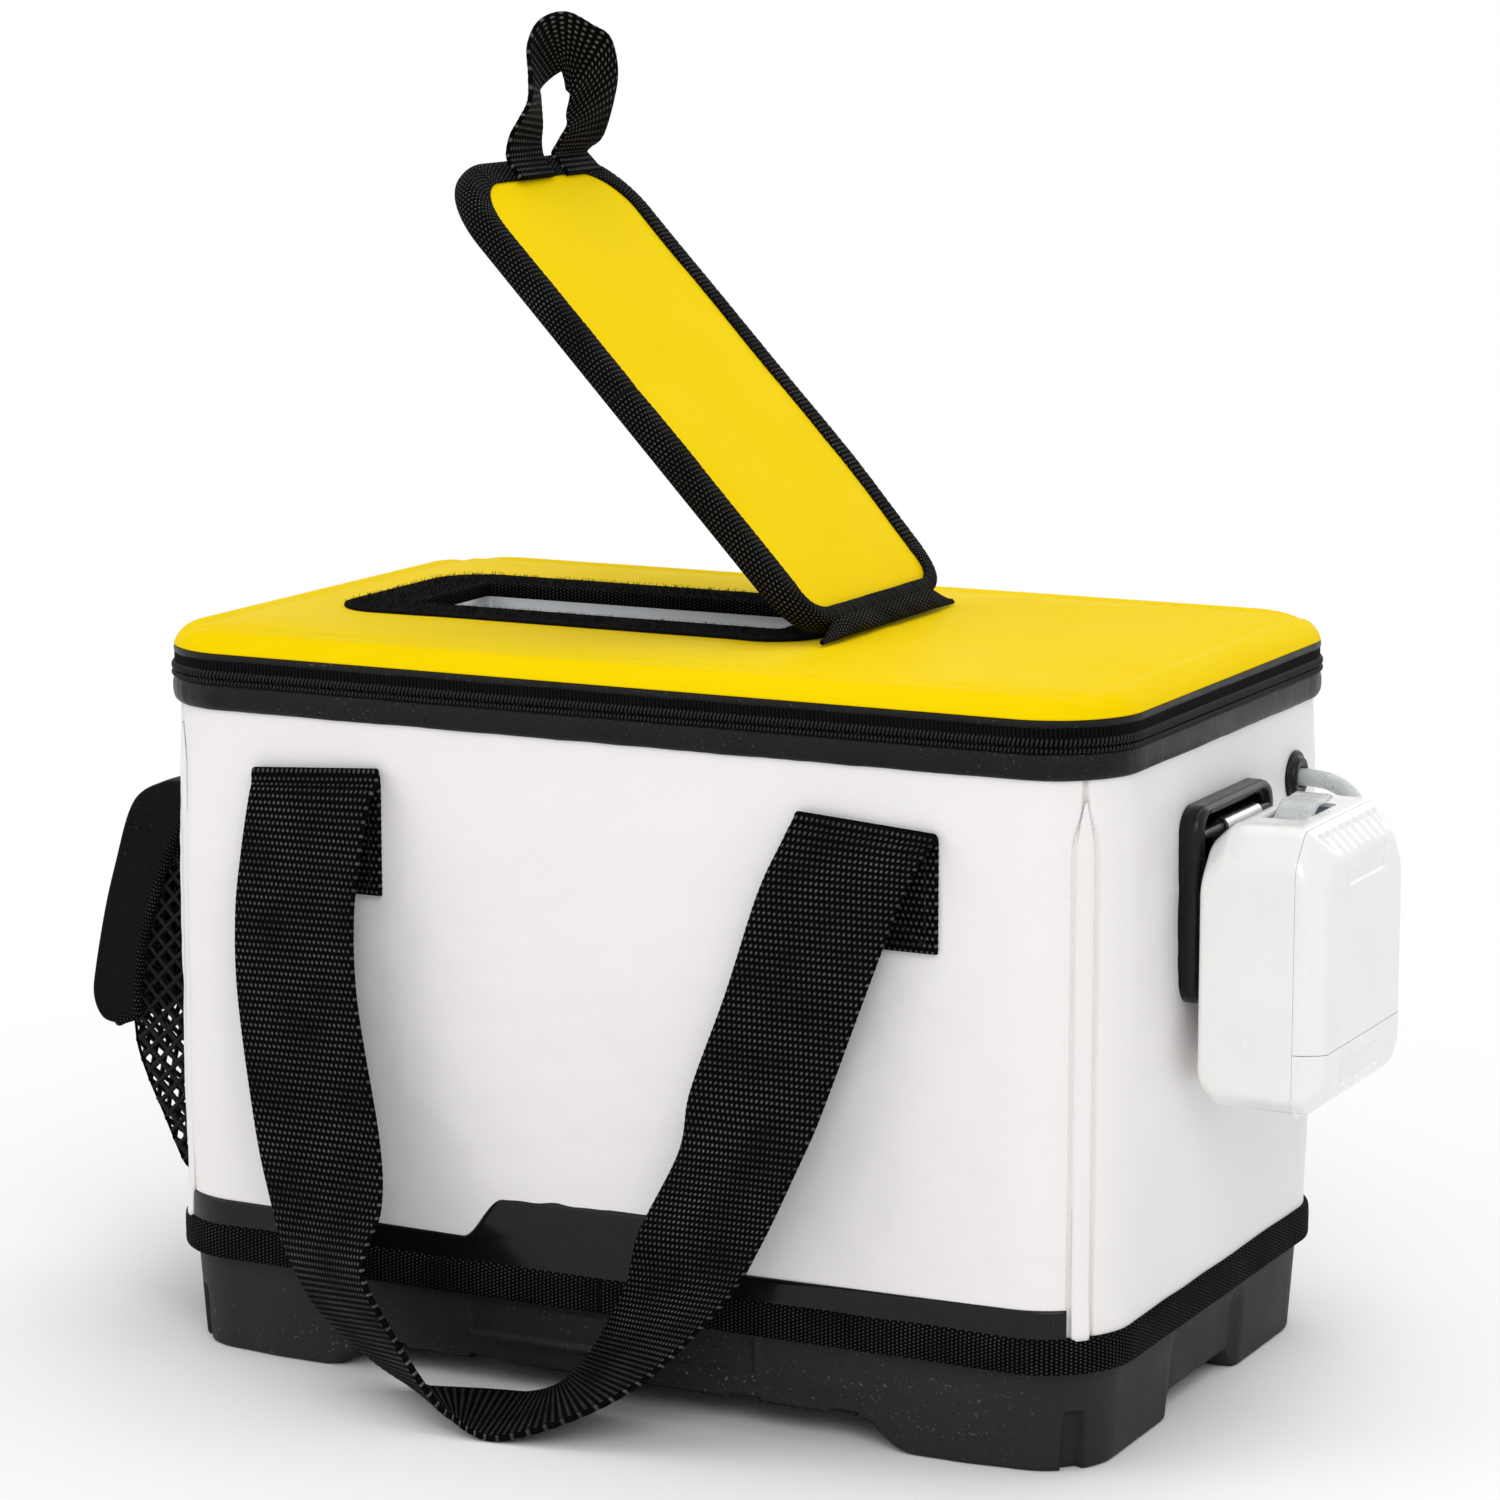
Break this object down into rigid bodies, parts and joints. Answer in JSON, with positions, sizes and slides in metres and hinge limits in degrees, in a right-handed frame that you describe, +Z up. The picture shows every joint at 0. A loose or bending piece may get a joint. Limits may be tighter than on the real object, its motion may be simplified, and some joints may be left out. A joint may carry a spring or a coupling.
{
  "type": "aerated bait cooler",
  "caption": "Soft insulated bait box with a zipped lid, hatch flap, webbing handles, net pocket and a clip-on battery air pump with its tube and air stone.",
  "frame": {"origin": "on the floor under the middle of the body", "axes": "+Z up, +X towards the air pump, -Y towards the front"},
  "size_m": [0.4519, 0.313, 0.4583],
  "materials": {
    "white_shell": "coated fabric, satin, faint weave",
    "yellow_vinyl": "coated fabric, satin",
    "black_trim": "woven binding tape",
    "black_vinyl": "coated fabric, glossy",
    "webbing": "ribbed webbing",
    "base_plastic": "moulded, fine grain",
    "fastener": "hook and loop",
    "liner_film": "smooth film",
    "foam": "closed-cell foam",
    "net": "open knotted net",
    "zip_plastic": "coil zip",
    "dark_metal": "satin black",
    "bracket_plastic": "satin",
    "steel": "brushed",
    "spring_steel": "bright plated",
    "white_plastic": "gloss",
    "grey_plastic": "satin",
    "rubber": "satin",
    "brass": "stamped",
    "cell_jacket": "plain, no print",
    "clear_lever": "translucent",
    "tube_plastic": "translucent",
    "stone": "porous"
  },
  "bodies": {
    "cooler_body": {"base_tray": "base_plastic", "base_binding": "black_trim", "outer_shell": "white_shell", "front_skirt": "black_vinyl", "corner_piping": "white_shell", "floor_foam": "foam", "wall_foam": "foam", "liner_floor": "liner_film", "inner_liner": "liner_film", "liner_flange": "liner_film", "rim_lower": "black_vinyl", "zip_lower_teeth": "zip_plastic", "lid_hinge_tape": "black_trim", "front_handle_patches": "webbing", "rear_handle_patches": "webbing", "pocket_net_front": "net", "pocket_net_bottom": "net", "pocket_net_gusset_front": "net", "pocket_net_gusset_rear": "net", "bracket_frame": "bracket_plastic", "bracket_rivets": "steel", "grommet": "rubber", "air_tube": "tube_plastic", "air_stone": "stone"},
    "lid": {"rim_upper": "black_vinyl", "zip_upper_teeth": "zip_plastic", "lid_liner": "liner_film", "lid_foam": "foam", "lid_panel": "yellow_vinyl", "hatch_sleeve": "liner_film", "hatch_binding": "black_trim", "hatch_loop_ring": "fastener", "flap_hinge_strip": "black_trim"},
    "hatch_flap": {"flap_binding": "black_trim", "flap_panel": "yellow_vinyl", "flap_core": "foam", "flap_underside": "black_vinyl", "flap_hook_strip": "fastener", "flap_grab_loop": "webbing"},
    "front_handle_strap": {"front_handle": "webbing"},
    "rear_handle_strap": {"rear_handle": "webbing"},
    "pocket_cover": {"pocket_flap": "black_vinyl"},
    "slider": {"zip_slider": "dark_metal"},
    "pull_tab": {"zip_pull": "dark_metal"},
    "air_pump": {"belt_clip": "spring_steel", "clip_screws": "steel", "pump_back_case": "white_plastic", "pump_lower_front": "white_plastic", "case_gasket": "rubber", "pump_divider": "grey_plastic", "battery_contacts": "brass", "battery_left": "cell_jacket", "battery_right": "cell_jacket", "pump_motor": "steel", "pump_head": "grey_plastic", "outlet_nipple": "grey_plastic", "switch_cup": "grey_plastic"},
    "pump_door": {"battery_door": "white_plastic"},
    "rotor": {"motor_shaft": "steel"},
    "switch": {"switch_lever": "clear_lever"}
  },
  "joints": [
    {"name": "lid_hinge", "type": "hinge", "parent": "cooler_body", "child": "lid", "pos_m": [0, 0.111, 0.2386], "axis": [-1, 0, 0], "range_deg": [0, 100]},
    {"name": "hatch_flap_hinge", "type": "hinge", "parent": "lid", "child": "hatch_flap", "pos_m": [0.0446, 0, 0.2568], "axis": [0, 1, 0], "range_deg": [-46.5, 73.5]},
    {"name": "front_handle_swing", "type": "hinge", "parent": "cooler_body", "child": "front_handle_strap", "pos_m": [-0.00575, -0.1126, 0.2096], "axis": [-1, 0, 0], "range_deg": [0, 150]},
    {"name": "rear_handle_swing", "type": "hinge", "parent": "cooler_body", "child": "rear_handle_strap", "pos_m": [-0.00575, 0.1126, 0.2096], "axis": [1, 0, 0], "range_deg": [0, 80]},
    {"name": "pocket_flap_hinge", "type": "hinge", "parent": "cooler_body", "child": "pocket_cover", "pos_m": [-0.1777, 0, 0.19875], "axis": [0, 1, 0], "range_deg": [0, 60]},
    {"name": "zip_travel", "type": "slide", "parent": "cooler_body", "child": "slider", "axis": [0, -1, 0], "range_m": [0, 0.13]},
    {"name": "zip_pull_swing", "type": "hinge", "parent": "slider", "child": "pull_tab", "pos_m": [-0.1845, 0.066, 0.2386], "axis": [0, 1, 0], "range_deg": [0, 90]},
    {"name": "pump_tilt", "type": "hinge", "parent": "cooler_body", "child": "air_pump", "pos_m": [0.1829, -0.0045, 0.2005], "axis": [0, -1, 0], "range_deg": [0, 30], "deforming": ["air_tube"]},
    {"name": "battery_door_hinge", "type": "hinge", "parent": "air_pump", "child": "pump_door", "pos_m": [0.229, -0.006, 0.133], "axis": [0, 1, 0], "range_deg": [0, 90]},
    {"name": "motor_spin", "type": "hinge", "parent": "air_pump", "child": "rotor", "pos_m": [0.201, -0.03, 0.1894], "axis": [0, 1, 0], "continuous": true},
    {"name": "switch_rock", "type": "hinge", "parent": "air_pump", "child": "switch", "pos_m": [0.206, -0.0085, 0.2042], "axis": [1, 0, 0], "range_deg": [-8, 0]}
  ]
}
